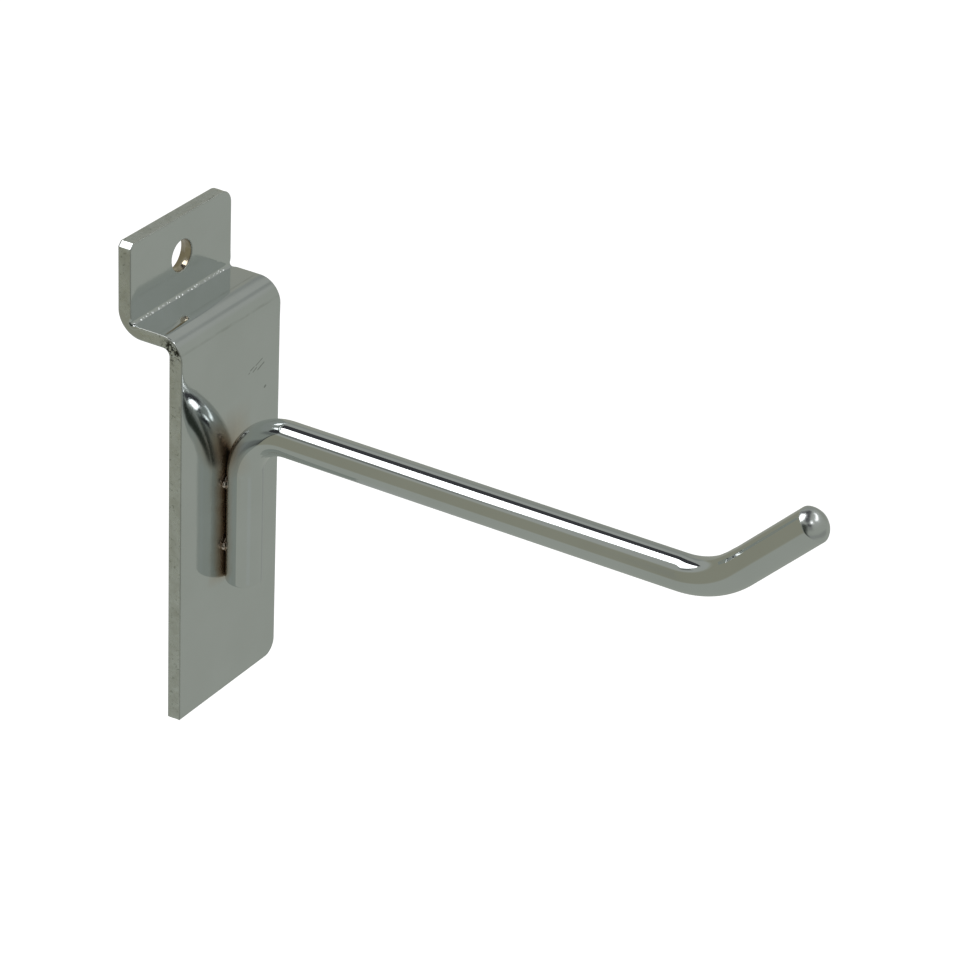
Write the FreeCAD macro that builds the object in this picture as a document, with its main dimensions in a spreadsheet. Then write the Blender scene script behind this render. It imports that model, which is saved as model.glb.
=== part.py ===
import FreeCAD, Part
import math
import os
import Sketcher

# Slatwall hook: a steel strip folded into a Z that catches on the lip of a slotted panel, and
# a round rod, bent into an arm with an upturned end, that is welded upright to the strip's front.
# Millimetres. The origin is on the strip's back face, straight behind the axis of the arm.
# X runs across the strip, +Y goes into the panel, -Y is the way the arm points, and +Z is up.

# Alias in the sheet, value, and what it measures
SIZES = [
    ("strip_width", "27.0", "strip, edge to edge"),
    ("sheet_thickness", "2.5", "plate and tab"),
    ("ledge_thickness", "2.15", "ledge, drawn thinner where the strip is joggled"),
    ("lip_gap", "7.2", "plate's back face to tab's front face"),
    ("seat_height", "17.15", "arm's axis up to the ledge's underside"),
    ("tab_height", "15.75", "ledge's underside up to the tab's top"),
    ("plate_height", "66.5", "plate's bottom up to the ledge's underside"),
    ("tab_fold_inside", "1.0", "fold between ledge and tab, front side"),
    ("tab_fold_outside", "4.4", "fold between ledge and tab, back side"),
    ("plate_fold_inside", "1.2", "fold between plate and ledge, back side"),
    ("plate_fold_outside", "4.0", "fold between plate and ledge, front side"),
    ("far_corner_radius", "2.6", "rounded corners on the +X side"),
    ("near_corner_cut", "0.75", "cut corner at the tab's top on the -X side"),
    ("front_edge_round", "0.3", "rolled-over edges of the strip's front side"),
    ("back_edge_round", "0.2", "edges of the strip's back side"),
    ("hole_diameter", "5.3", "screw hole through the tab, where the punch went in"),
    ("hole_height", "8.9", "ledge's underside up to the hole's axis"),
    ("hole_break_flare", "0.5", "widening all round where the punch broke out at the tab's back"),
    ("hole_break_depth", "1.3", "depth of that widening"),
    ("hole_edge_round", "0.2", "rims of the screw hole"),
    ("rod_diameter", "6.0", "round rod"),
    ("weld_set_down", "0.13", "depth the rod is pressed flat against the plate"),
    ("wall_bend_radius", "8.3", "bend from the upright leg to the arm, on the rod's axis"),
    ("arm_reach", "84.65", "leg's axis out to the corner of the tip bend"),
    ("tip_bend_radius", "14.0", "bend at the upturned end, on the rod's axis"),
    ("tip_angle", "45.0", "rise of the upturned end, in degrees"),
    ("tip_length", "23.1", "corner of the tip bend to the crown of the end"),
    ("dome_length", "2.0", "domed end of the rod"),
    ("dome_edge_round", "0.7", "edge between the dome and the rod's side"),
    ("leg_drop", "28.3", "arm's axis down to the leg's cut end"),
    ("leg_edge_round", "0.4", "edge of the leg's cut end"),
    ("upper_weld_drop", "10.6", "arm's axis down to the upper weld"),
    ("lower_weld_drop", "21.9", "arm's axis down to the lower weld"),
    ("weld_width", "5.0", "weld metal, across the rod"),
    ("weld_length", "3.0", "weld metal, along the rod"),
    ("weld_depth", "1.5", "weld metal, centred on the plate's front face"),
]

MATCH = 0.001        # how near two places lie when they count as the same, in millimetres
LEG_AXIS = "Sizes.sheet_thickness + Sizes.rod_diameter / 2 - Sizes.weld_set_down"
TIP_TANGENT = "Sizes.tip_bend_radius * tan(Sizes.tip_angle / 2)"

doc = FreeCAD.newDocument("slatwall_hook")


def make_sheet():
    sheet = doc.addObject("Spreadsheet::Sheet", "Sizes")
    for row, (alias, value, meaning) in enumerate(SIZES, start=1):
        sheet.set("A%d" % row, alias)
        sheet.set("B%d" % row, value)
        sheet.setAlias("B%d" % row, alias)
        sheet.set("C%d" % row, meaning)
    doc.recompute()
    return sheet


sheet = make_sheet()


def size(alias):
    return float(sheet.get(alias))


# Sketches

def new_body(label):
    body = doc.addObject("PartDesign::Body", label)
    body.Label = label
    return body


def new_sketch(body, name, role):
    sketch = body.newObject("Sketcher::SketchObject", name)
    plane = next(part for part in body.Origin.OriginFeatures if part.Role == role)
    sketch.AttachmentSupport = [(plane, "")]
    sketch.MapMode = "FlatFace"
    return sketch


def set_size(sketch, name, formula, *constraint):
    index = sketch.addConstraint(Sketcher.Constraint(*constraint))
    sketch.renameConstraint(index, name)
    sketch.setExpression("Constraints." + name, formula)


def flat(x, y):
    return FreeCAD.Vector(x, y, 0)


def line(start, end):
    return Part.LineSegment(flat(*start), flat(*end))


def arc(centre, radius, start_degrees, end_degrees):
    """Arc drawn counterclockwise."""
    circle = Part.Circle(flat(*centre), FreeCAD.Vector(0, 0, 1), radius)
    return Part.ArcOfCircle(circle, math.radians(start_degrees), math.radians(end_degrees))


def draw_outline(sketch, corners):
    """Closed outline of level and upright lines; returns the index of each line."""
    count = len(corners)
    lines = [sketch.addGeometry(line(corners[k], corners[(k + 1) % count])) for k in range(count)]
    for k, edge in enumerate(lines):
        sketch.addConstraint(Sketcher.Constraint("Coincident", edge, 2, lines[(k + 1) % count], 1))
        (x0, _), (x1, _) = corners[k], corners[(k + 1) % count]
        direction = "Vertical" if x0 == x1 else "Horizontal"
        sketch.addConstraint(Sketcher.Constraint(direction, edge))
    return lines


# Edges, found by where they lie

def edge_names(shape, test):
    return ["Edge%d" % (k + 1) for k, edge in enumerate(shape.Edges) if test(edge)]


def near(value, target):
    return abs(value - target) < MATCH


def lies_at(edge, **place):
    """True if the whole edge keeps the given x, y or z."""
    box = edge.BoundBox
    spans = {"x": (box.XMin, box.XMax), "y": (box.YMin, box.YMax), "z": (box.ZMin, box.ZMax)}
    return all(near(spans[axis][0], at) and near(spans[axis][1], at) for axis, at in place.items())


def is_rim(edge, y, radius):
    """True for a whole circle of that radius on a level of Y."""
    box = edge.BoundBox
    return lies_at(edge, y=y) and near(box.XLength, 2 * radius) and near(box.ZLength, 2 * radius)


def dress(body, kind, name, base, edges, size_name, formula):
    """Adds a fillet or chamfer on named edges of an earlier feature of the body."""
    feature = body.newObject("PartDesign::" + kind, name)
    feature.Base = (base, edges)
    feature.setExpression(size_name, formula)
    doc.recompute()
    return feature


# Folded strip with its screw hole

def make_back_plate():
    body = new_body("back_plate")
    half = size("strip_width") / 2
    front = -size("sheet_thickness")
    gap = size("lip_gap")
    back = gap + size("sheet_thickness")
    seat = size("seat_height")
    ledge_top = seat + size("ledge_thickness")
    top = seat + size("tab_height")
    bottom = seat - size("plate_height")

    # Z section with sharp corners, drawn in Y and Z, up the back side and down the front side
    profile = new_sketch(body, "strip_section", "YZ_Plane")
    corners = [(0, bottom), (0, seat), (back, seat), (back, top),
               (gap, top), (gap, ledge_top), (front, ledge_top), (front, bottom)]
    plate_back, ledge_under, tab_back, tab_top, tab_front, ledge_over, _, foot = \
        draw_outline(profile, corners)
    profile.addConstraint(Sketcher.Constraint("PointOnObject", plate_back, 2, -2))
    set_size(profile, "seat", "Sizes.seat_height", "DistanceY", -1, 1, plate_back, 2, seat)
    set_size(profile, "plate", "Sizes.plate_height",
             "DistanceY", plate_back, 1, plate_back, 2, seat - bottom)
    set_size(profile, "tab", "Sizes.tab_height", "DistanceY", tab_back, 1, tab_back, 2, top - seat)
    set_size(profile, "gap", "Sizes.lip_gap", "DistanceX", plate_back, 2, tab_front, 1, gap)
    set_size(profile, "tab_sheet", "Sizes.sheet_thickness",
             "DistanceX", tab_top, 2, tab_top, 1, back - gap)
    set_size(profile, "plate_sheet", "Sizes.sheet_thickness",
             "DistanceX", foot, 1, foot, 2, -front)
    set_size(profile, "ledge_sheet", "Sizes.ledge_thickness",
             "DistanceY", ledge_under, 1, ledge_over, 2, ledge_top - seat)

    strip = body.newObject("PartDesign::Pad", "strip")
    strip.Profile = profile
    strip.SideType = "Symmetric"
    strip.setExpression("Length", "Sizes.strip_width")
    doc.recompute()

    # Four folds, each side of the sheet with its own radius
    feature = strip
    folds = [("tab_fold_outside", back, seat), ("tab_fold_inside", gap, ledge_top),
             ("plate_fold_inside", 0, seat), ("plate_fold_outside", front, ledge_top)]
    for name, y, z in folds:
        edges = edge_names(feature.Shape, lambda edge: lies_at(edge, y=y, z=z))
        feature = dress(body, "Fillet", name, feature, edges, "Radius", "Sizes." + name)

    # Corners of the strip: rounded on the +X side, one small cut on the -X side
    edges = edge_names(feature.Shape, lambda edge: lies_at(edge, x=half, z=top)
                       or lies_at(edge, x=half, z=bottom))
    feature = dress(body, "Fillet", "far_corners", feature, edges,
                    "Radius", "Sizes.far_corner_radius")
    edges = edge_names(feature.Shape, lambda edge: lies_at(edge, x=-half, z=top))
    feature = dress(body, "Chamfer", "near_corner", feature, edges,
                    "Size", "Sizes.near_corner_cut")

    # Outline of the strip, rolled over and plated, front side and back side of the sheet
    for side, sign in (("front", 1), ("back", -1)):
        edges = outline_edges(feature.Shape, sign, top, bottom)
        feature = dress(body, "Fillet", side + "_edges", feature, edges,
                        "Radius", "Sizes." + side + "_edge_round")

    # Screw hole through the tab
    circle = new_sketch(body, "hole_circle", "XZ_Plane")
    hole_z = seat + size("hole_height")
    hole_radius = size("hole_diameter") / 2
    rim = circle.addGeometry(Part.Circle(flat(0, hole_z), FreeCAD.Vector(0, 0, 1), hole_radius))
    circle.addConstraint(Sketcher.Constraint("PointOnObject", rim, 3, -2))
    set_size(circle, "height", "Sizes.seat_height + Sizes.hole_height",
             "DistanceY", -1, 1, rim, 3, hole_z)
    set_size(circle, "radius", "Sizes.hole_diameter / 2", "Radius", rim, hole_radius)
    solid_before = feature.Shape.Volume
    hole = body.newObject("PartDesign::Pocket", "screw_hole")
    hole.Profile = circle
    hole.Type = "ThroughAll"
    doc.recompute()
    if hole.Shape.Volume > solid_before - MATCH:
        raise RuntimeError("the screw hole cuts nothing")
    back_rim = edge_names(hole.Shape, lambda edge: is_rim(edge, back, hole_radius))
    broken = dress(body, "Chamfer", "hole_break", hole, back_rim,
                   "Size", "Sizes.hole_break_flare")
    broken.ChamferType = "Two distances"
    broken.setExpression("Size2", "Sizes.hole_break_depth")
    doc.recompute()
    flared = hole_radius + size("hole_break_flare")
    rims = edge_names(broken.Shape, lambda edge: is_rim(edge, gap, hole_radius)
                      or is_rim(edge, back, flared))
    dress(body, "Fillet", "hole_rims", broken, rims, "Radius", "Sizes.hole_edge_round")
    return body


def outline_edges(shape, sign, top, bottom):
    """Edges between a cut face of the strip and one side of its sheet: 1 front, -1 back."""
    def normal(face):
        first, last, low, high = face.ParameterRange
        return face.normalAt((first + last) / 2, (low + high) / 2)

    def is_cut(face):
        return abs(normal(face).x) > MATCH or lies_at(face, z=top) or lies_at(face, z=bottom)

    def on_side(face):
        return not is_cut(face) and sign * (normal(face).z - normal(face).y) > 0

    names = []
    for k, edge in enumerate(shape.Edges):
        faces = shape.ancestorsOfType(edge, Part.Face)
        if any(is_cut(face) for face in faces) and any(on_side(face) for face in faces):
            names.append("Edge%d" % (k + 1))
    return names


# Rod bent into the leg, the arm and the upturned end

def make_hook_rod():
    body = new_body("hook_rod")
    radius = size("rod_diameter") / 2
    leg_y = -(size("sheet_thickness") + radius - size("weld_set_down"))
    wall_bend, tip_bend = size("wall_bend_radius"), size("tip_bend_radius")
    rise = math.radians(size("tip_angle"))
    tangent = tip_bend * math.tan(rise / 2)
    bend_y = leg_y - size("arm_reach") + tangent
    tip_start = (bend_y - tip_bend * math.sin(rise), tip_bend * (1 - math.cos(rise)))
    straight = size("tip_length") - tangent - size("dome_length")
    tip_end = (tip_start[0] - straight * math.cos(rise), tip_start[1] + straight * math.sin(rise))

    # Path along the rod's axis, drawn in Y and Z, from the leg's cut end to the dome
    path = new_sketch(body, "rod_path", "YZ_Plane")
    leg = path.addGeometry(line((leg_y, -size("leg_drop")), (leg_y, -wall_bend)))
    elbow = path.addGeometry(arc((leg_y - wall_bend, -wall_bend), wall_bend, 0, 90))
    arm = path.addGeometry(line((leg_y - wall_bend, 0), (bend_y, 0)))
    upturn = path.addGeometry(arc((bend_y, tip_bend), tip_bend, 270 - size("tip_angle"), 270))
    tip = path.addGeometry(line(tip_start, tip_end))
    for first, first_end, second, second_end in ((leg, 2, elbow, 1), (elbow, 2, arm, 1),
                                                 (arm, 2, upturn, 2), (upturn, 1, tip, 1)):
        path.addConstraint(Sketcher.Constraint("Tangent", first, first_end, second, second_end))
    path.addConstraint(Sketcher.Constraint("Vertical", leg))
    path.addConstraint(Sketcher.Constraint("Horizontal", arm))
    path.addConstraint(Sketcher.Constraint("PointOnObject", arm, 1, -1))
    set_size(path, "leg_axis", LEG_AXIS, "DistanceX", leg, 1, -1, 1, -leg_y)
    set_size(path, "leg_drop", "Sizes.leg_drop", "DistanceY", leg, 1, -1, 1, size("leg_drop"))
    set_size(path, "wall_bend", "Sizes.wall_bend_radius", "Radius", elbow, wall_bend)
    set_size(path, "tip_bend", "Sizes.tip_bend_radius", "Radius", upturn, tip_bend)
    set_size(path, "reach", "Sizes.arm_reach - " + TIP_TANGENT,
             "DistanceX", arm, 2, leg, 1, leg_y - bend_y)
    set_size(path, "rise", "Sizes.tip_angle * 1 deg", "Angle", tip, 2, arm, 2, rise)
    set_size(path, "tip", "Sizes.tip_length - Sizes.dome_length - " + TIP_TANGENT,
             "Distance", tip, 1, tip, 2, straight)

    section = new_sketch(body, "rod_section", "XY_Plane")
    section.setExpression("AttachmentOffset.Base.z", "-Sizes.leg_drop")
    ring = section.addGeometry(Part.Circle(flat(0, leg_y), FreeCAD.Vector(0, 0, 1), radius))
    section.addConstraint(Sketcher.Constraint("PointOnObject", ring, 3, -2))
    set_size(section, "leg_axis", LEG_AXIS, "DistanceY", ring, 3, -1, 1, -leg_y)
    set_size(section, "radius", "Sizes.rod_diameter / 2", "Radius", ring, radius)

    rod = body.newObject("PartDesign::AdditivePipe", "bent_rod")
    rod.Profile = section
    rod.Spine = (path, [])
    doc.recompute()

    # Cut end of the leg
    rim = edge_names(rod.Shape, lambda edge: lies_at(edge, z=-size("leg_drop")))
    trimmed = dress(body, "Fillet", "leg_end", rod, rim, "Radius", "Sizes.leg_edge_round")

    # Domed end: a shallow cap with a small edge, turned about the axis of the upturned end
    dome, edge_round = size("dome_length"), size("dome_edge_round")
    shoulder = radius - edge_round
    cap_radius = (dome ** 2 + shoulder ** 2 - edge_round ** 2) / (2 * (dome - edge_round))
    joint = math.degrees(math.atan2(shoulder, cap_radius - dome))
    half_section = new_sketch(body, "dome_section", "YZ_Plane")
    half_section.setExpression("AttachmentOffset.Base.x", "-(" + LEG_AXIS + " + Sizes.arm_reach)"
                               " - (Sizes.tip_length - Sizes.dome_length) * cos(Sizes.tip_angle)")
    half_section.setExpression("AttachmentOffset.Base.y",
                               "(Sizes.tip_length - Sizes.dome_length) * sin(Sizes.tip_angle)")
    half_section.setExpression("AttachmentOffset.Rotation.Angle", "180 - Sizes.tip_angle")
    axis = half_section.addGeometry(line((0, 0), (dome, 0)))
    cap = half_section.addGeometry(arc((dome - cap_radius, 0), cap_radius, 0, joint))
    edge = half_section.addGeometry(arc((0, shoulder), edge_round, joint, 90))
    base = half_section.addGeometry(line((0, radius), (0, 0)))
    for constraint in (("Coincident", axis, 1, -1, 1), ("Horizontal", axis),
                       ("Coincident", axis, 2, cap, 1), ("PointOnObject", cap, 3, -1),
                       ("Tangent", cap, 2, edge, 1), ("PointOnObject", edge, 3, -2),
                       ("Coincident", edge, 2, base, 1), ("Coincident", base, 2, -1, 1),
                       ("Vertical", base)):
        half_section.addConstraint(Sketcher.Constraint(*constraint))
    set_size(half_section, "dome", "Sizes.dome_length", "DistanceX", axis, 1, axis, 2, dome)
    set_size(half_section, "edge", "Sizes.dome_edge_round", "Radius", edge, edge_round)
    set_size(half_section, "radius", "Sizes.rod_diameter / 2",
             "DistanceY", base, 2, base, 1, radius)
    turned = body.newObject("PartDesign::Revolution", "domed_end")
    turned.Profile = half_section
    turned.ReferenceAxis = (half_section, ["H_Axis"])
    doc.recompute()

    # Flat along the leg, where the weld presses the rod against the plate
    seat = new_sketch(body, "seat_outline", "XZ_Plane")
    seat.setExpression("AttachmentOffset.Base.z", "Sizes.sheet_thickness")
    low = -(size("leg_drop") + radius)
    left, head = draw_outline(seat, [(-radius, low), (-radius, 0), (radius, 0), (radius, low)])[:2]
    seat.addConstraint(Sketcher.Constraint("Symmetric", head, 1, head, 2, -1, 1))
    set_size(seat, "width", "Sizes.rod_diameter", "DistanceX", head, 1, head, 2, 2 * radius)
    set_size(seat, "length", "Sizes.leg_drop + Sizes.rod_diameter / 2",
             "DistanceY", left, 1, left, 2, -low)
    solid_before = turned.Shape.Volume
    flat_seat = body.newObject("PartDesign::Pocket", "pressed_flat")
    flat_seat.Profile = seat
    flat_seat.Type = "ThroughAll"
    doc.recompute()
    if flat_seat.Shape.Volume > solid_before - MATCH:
        raise RuntimeError("the pressed flat cuts nothing")
    return body


# Weld metal squeezed out on both sides of the rod

def make_weld(label, drop, plate, rod):
    lens = doc.addObject("Part::Ellipsoid", label + "_lens")
    lens.setExpression("Radius1", "Sizes.weld_length / 2")
    lens.setExpression("Radius2", "Sizes.weld_width / 2")
    lens.setExpression("Radius3", "Sizes.weld_depth / 2")
    lens.setExpression("Placement.Base.y", "-Sizes.sheet_thickness")
    lens.setExpression("Placement.Base.z", "-Sizes." + drop)
    off_plate = doc.addObject("Part::Cut", label + "_off_plate")
    off_plate.Base = lens
    off_plate.Tool = plate
    weld = doc.addObject("Part::Cut", label)
    weld.Label = label
    weld.Base = off_plate
    weld.Tool = rod
    return weld


def check_and_write(pieces):
    for item in doc.Objects:
        if "Invalid" in item.State or "Error" in item.State:
            raise RuntimeError(item.Label + " failed to build")
    for piece in pieces:
        if piece.Shape.isNull() or not piece.Shape.isValid() or not piece.Shape.Solids:
            raise RuntimeError(piece.Label + " has no valid solid")
    os.makedirs("parts", exist_ok=True)
    for piece in pieces:
        piece.Shape.exportStep("parts/" + piece.Label + ".step")


back_plate = make_back_plate()
hook_rod = make_hook_rod()
upper_weld = make_weld("upper_weld", "upper_weld_drop", back_plate, hook_rod)
lower_weld = make_weld("lower_weld", "lower_weld_drop", back_plate, hook_rod)
doc.recompute()
check_and_write([back_plate, hook_rod, upper_weld, lower_weld])
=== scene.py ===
import math
import random

import bmesh
import bpy
from mathutils import Matrix, Vector, noise
from mathutils.geometry import delaunay_2d_cdt


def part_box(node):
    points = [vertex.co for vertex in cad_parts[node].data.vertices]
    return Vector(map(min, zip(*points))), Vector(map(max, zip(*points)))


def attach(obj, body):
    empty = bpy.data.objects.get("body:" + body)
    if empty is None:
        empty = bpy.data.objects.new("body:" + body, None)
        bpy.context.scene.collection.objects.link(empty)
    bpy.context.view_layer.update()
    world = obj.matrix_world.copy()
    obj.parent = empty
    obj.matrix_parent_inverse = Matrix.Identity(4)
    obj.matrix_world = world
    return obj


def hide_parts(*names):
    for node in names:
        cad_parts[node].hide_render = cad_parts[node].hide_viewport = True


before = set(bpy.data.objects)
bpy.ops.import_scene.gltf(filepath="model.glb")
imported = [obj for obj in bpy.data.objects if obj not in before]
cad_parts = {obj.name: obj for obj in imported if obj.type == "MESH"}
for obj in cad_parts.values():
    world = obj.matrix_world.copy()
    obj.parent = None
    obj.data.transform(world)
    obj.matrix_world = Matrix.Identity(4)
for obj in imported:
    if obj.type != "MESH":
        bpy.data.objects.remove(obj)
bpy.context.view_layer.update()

MM = 0.001
scene = bpy.context.scene
scene.view_settings.view_transform = "Standard"

# The strip, in millimetres: y into the wall, z up. A fold is the y, z and radius of one face's bend.
HALF_WIDTH = 13.5
PLATE_FRONT = -2.5
PLATE_BOTTOM = -49.35
TAB_FRONT = 7.2
TAB_BACK = 9.7
TAB_TOP = 32.9
LEDGE_TOP = 19.3
LEDGE_UNDER = 17.15
PLATE_FOLD_OUT = (1.5, 15.3, 4.0)
PLATE_FOLD_IN = (1.2, 15.95, 1.2)
TAB_FOLD_IN = (6.55, 19.95, 0.65)
TAB_FOLD_OUT = (5.3, 21.55, 4.4)
# Heights where a new run of evenly spaced rows begins.
PLATE_SPLIT = 12.0
TAB_SPLIT = 22.6
# Its corners are round on the far side. The tab's near corner has a small cut that gets shorter with the
# inset, up to CUT_STOP.
FAR_CORNER = 2.6
NEAR_CUT = 0.75
CUT_STOP = 1.1

# How its edges are rounded. At the ends of the tab's crease the front edge is rounder, by this factor.
FRONT_ROUND = 0.16
BACK_ROUND = 0.2
CREASE_ROUND = 4.2
CREASE_END = (7.0, 19.5)
CREASE_REACH = 0.6
# From this factor on the edge is plated like the faces.
CREASE_FACE_FROM = 1.5
# The front face falls away towards its edges.
ROLL_WIDTH = 2.0
ROLL_DEPTH = 0.08
# Where the roll fades out on the plate and comes back on the tab: z at the start, and length.
PLATE_FADE = (12.5, 3)
TAB_FADE = (19.6, 2)
TAB_FADE_Y = 6.9
# Middle of the pits on the near side's sheared edge.
PITS_AT = (-13.5, -0.6, 17.2)

# Grains of plating in the tab's crease: first and last x, sizes and the gaps between them.
GRAIN_SPAN = (-12.9, 12.6)
GRAIN_SIZES = (0.05, 0.06, 0.07, 0.09, 0.12)
GRAIN_GAPS = (0.18, 0.25, 0.35, 0.55)

# Steps of its mesh: along the sides, round a fold and a corner, across the faces and through an edge.
ROW_STEP = 0.3
FOLD_STEPS = 28
CORNER_STEPS = 16
CUT_STEPS = 7
NEAR_STEPS = 9
END_STEPS = 80
ACROSS_STEPS = 60
CREASE_STEPS = 260
ROLL_STEPS = 9
FRONT_STEPS = 7
SIDE_STEPS = 14
BACK_STEPS = 5

# The hole through the tab.
HOLE_Z = 26.05
HOLE_R = 2.65
HOLE_FLARE = 0.5
HOLE_FLARE_DEPTH = 1.3
HOLE_RIM = 0.2
HOLE_STEPS = 96
HOLE_RIM_STEPS = 4
HOLE_WALL_STEPS = 4
HOLE_FLARE_STEPS = 6

# The rod, in millimetres.
ROD_R = 3.0
LEG_Y = -5.37
LEG_END = -28.3
LEG_ROUND = 0.4
LEG_FLAT_Z = -6
ELBOW_R = 8.3
ARM_TURN_Y = -84.221
TIP_BEND_R = 14.0
TIP_ANGLE = math.radians(45)
TIP_END = (-104.94, 14.92)
# The domed end: radius of its cap, radius of the round at its foot and its length.
DOME_CAP = 3.385
DOME_EDGE = 0.7
DOME_LENGTH = 2.0
# Radius of the smallest ring, in the middle of an end.
CENTRE_R = 0.02
# Middle of the bending tool's mark: y and z.
TOOL_MARK_AT = (-91.4, 5.8)

# Steps of its mesh, round it and along it.
ROD_STEPS = 128
LEG_ROUND_STEPS = 6
LEG_STEPS = 60
ELBOW_STEPS = 64
ARM_STEPS = 150
TIP_BEND_STEPS = 48
TIP_STEPS = 40
DOME_EDGE_STEPS = 8
DOME_STEPS = 20

# Material slots of the strip.
FACE, SHEARED, HOLE, RIM = range(4)


def link_object(name, data):
    obj = bpy.data.objects.new(name, data)
    scene.collection.objects.link(obj)
    return obj


def bmesh_object(name, bm):
    mesh = bpy.data.meshes.new(name)
    bm.to_mesh(mesh)
    bm.free()
    return link_object(name, mesh)


def lerp(a, b, t):
    return a + (b - a) * t


def clamp(value):
    return max(0.0, min(1.0, value))


def make_object(name, verts, faces):
    """A mesh object from places in millimetres."""
    mesh = bpy.data.meshes.new(name)
    mesh.from_pydata([(x * MM, y * MM, z * MM) for x, y, z in verts], [], faces)
    mesh.validate()
    mesh.update()
    return link_object(name, mesh)


def arc_point(centre, angle):
    return centre[0] + centre[2] * math.cos(angle), centre[1] + centre[2] * math.sin(angle)


def stations():
    """Paired points on the strip's two faces, from the plate up to the tab, and the rows of each fold."""
    rows = []
    folds = []

    def straight(front_a, front_b, back_a, back_b):
        count = max(1, round(math.dist(front_a, front_b) / ROW_STEP))
        for i in range(count):
            t = i / count
            rows.append((tuple(lerp(a, b, t) for a, b in zip(front_a, front_b)),
                         tuple(lerp(a, b, t) for a, b in zip(back_a, back_b))))

    def fold(front, back, start, end):
        folds.append(range(len(rows), len(rows) + FOLD_STEPS + 1))
        for i in range(FOLD_STEPS):
            angle = lerp(start, end, i / FOLD_STEPS)
            rows.append((arc_point(front, angle), arc_point(back, angle)))

    quarter = math.pi / 2
    straight((PLATE_FRONT, PLATE_BOTTOM + FAR_CORNER), (PLATE_FRONT, PLATE_SPLIT),
             (0, PLATE_BOTTOM + FAR_CORNER), (0, PLATE_SPLIT))
    straight((PLATE_FRONT, PLATE_SPLIT), (PLATE_FRONT, PLATE_FOLD_OUT[1]),
             (0, PLATE_SPLIT), (0, PLATE_FOLD_IN[1]))
    fold(PLATE_FOLD_OUT, PLATE_FOLD_IN, 2 * quarter, quarter)
    straight((PLATE_FOLD_OUT[0], LEDGE_TOP), (TAB_FOLD_IN[0], LEDGE_TOP),
             (PLATE_FOLD_IN[0], LEDGE_UNDER), (TAB_FOLD_OUT[0], LEDGE_UNDER))
    fold(TAB_FOLD_IN, TAB_FOLD_OUT, -quarter, 0)
    straight((TAB_FRONT, TAB_FOLD_IN[1]), (TAB_FRONT, TAB_SPLIT),
             (TAB_BACK, TAB_FOLD_OUT[1]), (TAB_BACK, TAB_SPLIT))
    straight((TAB_FRONT, TAB_SPLIT), (TAB_FRONT, TAB_TOP - FAR_CORNER),
             (TAB_BACK, TAB_SPLIT), (TAB_BACK, TAB_TOP - FAR_CORNER))
    rows.append(((TAB_FRONT, TAB_TOP - FAR_CORNER), (TAB_BACK, TAB_TOP - FAR_CORNER)))
    return rows, folds


def outline_nodes(rows):
    """Round the strip's outline: (place, front, back, round scale, tag); place(inset) gives x and z."""
    nodes = []

    def bulge(front):
        near = math.dist(front, CREASE_END) / CREASE_REACH
        return 1 + (CREASE_ROUND - 1) * math.exp(-near * near)

    def side(sign, i):
        front, back = rows[i]
        tag = "right" if sign > 0 else "left"
        nodes.append((lambda inset: (sign * (HALF_WIDTH - inset), None), front, back,
                      bulge(front), (tag, i)))

    def flat(place, sheet, tag=None):
        z = place(0)[1]
        nodes.append((place, (sheet[0], z), (sheet[1], z), 1.0, tag))

    def run(start, end, count, sheet):
        """Evenly spaced places between two corners that move as the inset grows."""
        for k in range(1, count):
            flat(lambda inset, t=k / count: tuple(lerp(a, b, t) for a, b in zip(start(inset), end(inset))),
                 sheet)

    def corner(z_edge, angle, sheet):
        """A place on one of the far side's rounded corners."""
        z = z_edge - math.copysign(FAR_CORNER, z_edge)

        def place(inset):
            r = FAR_CORNER - inset
            return HALF_WIDTH - FAR_CORNER + r * math.cos(angle), z + r * math.sin(angle)
        flat(place, sheet)

    def cut_end(inset, top):
        """One end of the cut across the tab's near corner."""
        kept = min(inset, CUT_STOP)
        slide = NEAR_CUT + math.tan(math.radians(22.5)) * kept + inset - kept
        if top:
            return slide - HALF_WIDTH, TAB_TOP - inset
        return inset - HALF_WIDTH, TAB_TOP - slide

    quarter = math.pi / 2
    tab, plate = (TAB_FRONT, TAB_BACK), (PLATE_FRONT, 0)
    # far side going up, then the tab's top towards the near side
    for i in range(len(rows)):
        side(1, i)
    for k in range(1, CORNER_STEPS + 1):
        corner(TAB_TOP, quarter * k / CORNER_STEPS, tab)
    run(lambda inset: (HALF_WIDTH - FAR_CORNER, TAB_TOP - inset), lambda inset: cut_end(inset, True),
        END_STEPS, tab)
    flat(lambda inset: cut_end(inset, True), tab, "cut")
    flat(lambda inset: cut_end(inset, False), tab, "cut")
    run(lambda inset: cut_end(inset, False), lambda inset: (inset - HALF_WIDTH, TAB_TOP - FAR_CORNER),
        CUT_STEPS, tab)
    # near side going down, then the plate's bottom towards the far side
    for i in range(len(rows) - 1, -1, -1):
        side(-1, i)
    run(lambda inset: (inset - HALF_WIDTH, PLATE_BOTTOM + FAR_CORNER),
        lambda inset: (inset - HALF_WIDTH, PLATE_BOTTOM + inset), NEAR_STEPS, plate)
    flat(lambda inset: (inset - HALF_WIDTH, PLATE_BOTTOM + inset), plate)
    run(lambda inset: (inset - HALF_WIDTH, PLATE_BOTTOM + inset),
        lambda inset: (HALF_WIDTH - FAR_CORNER, PLATE_BOTTOM + inset), END_STEPS, plate)
    for k in range(CORNER_STEPS):
        corner(PLATE_BOTTOM, quarter * (k / CORNER_STEPS - 1), plate)
    return nodes


def fall_share(front):
    """The front face falls away less along the ledge and its outer fold."""
    rise = clamp((front[1] - PLATE_FADE[0]) / PLATE_FADE[1])
    tab = clamp((front[1] - TAB_FADE[0]) / TAB_FADE[1]) if front[0] > TAB_FADE_Y else 0.0
    return 1 - 0.9 * rise * (1 - tab)


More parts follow.
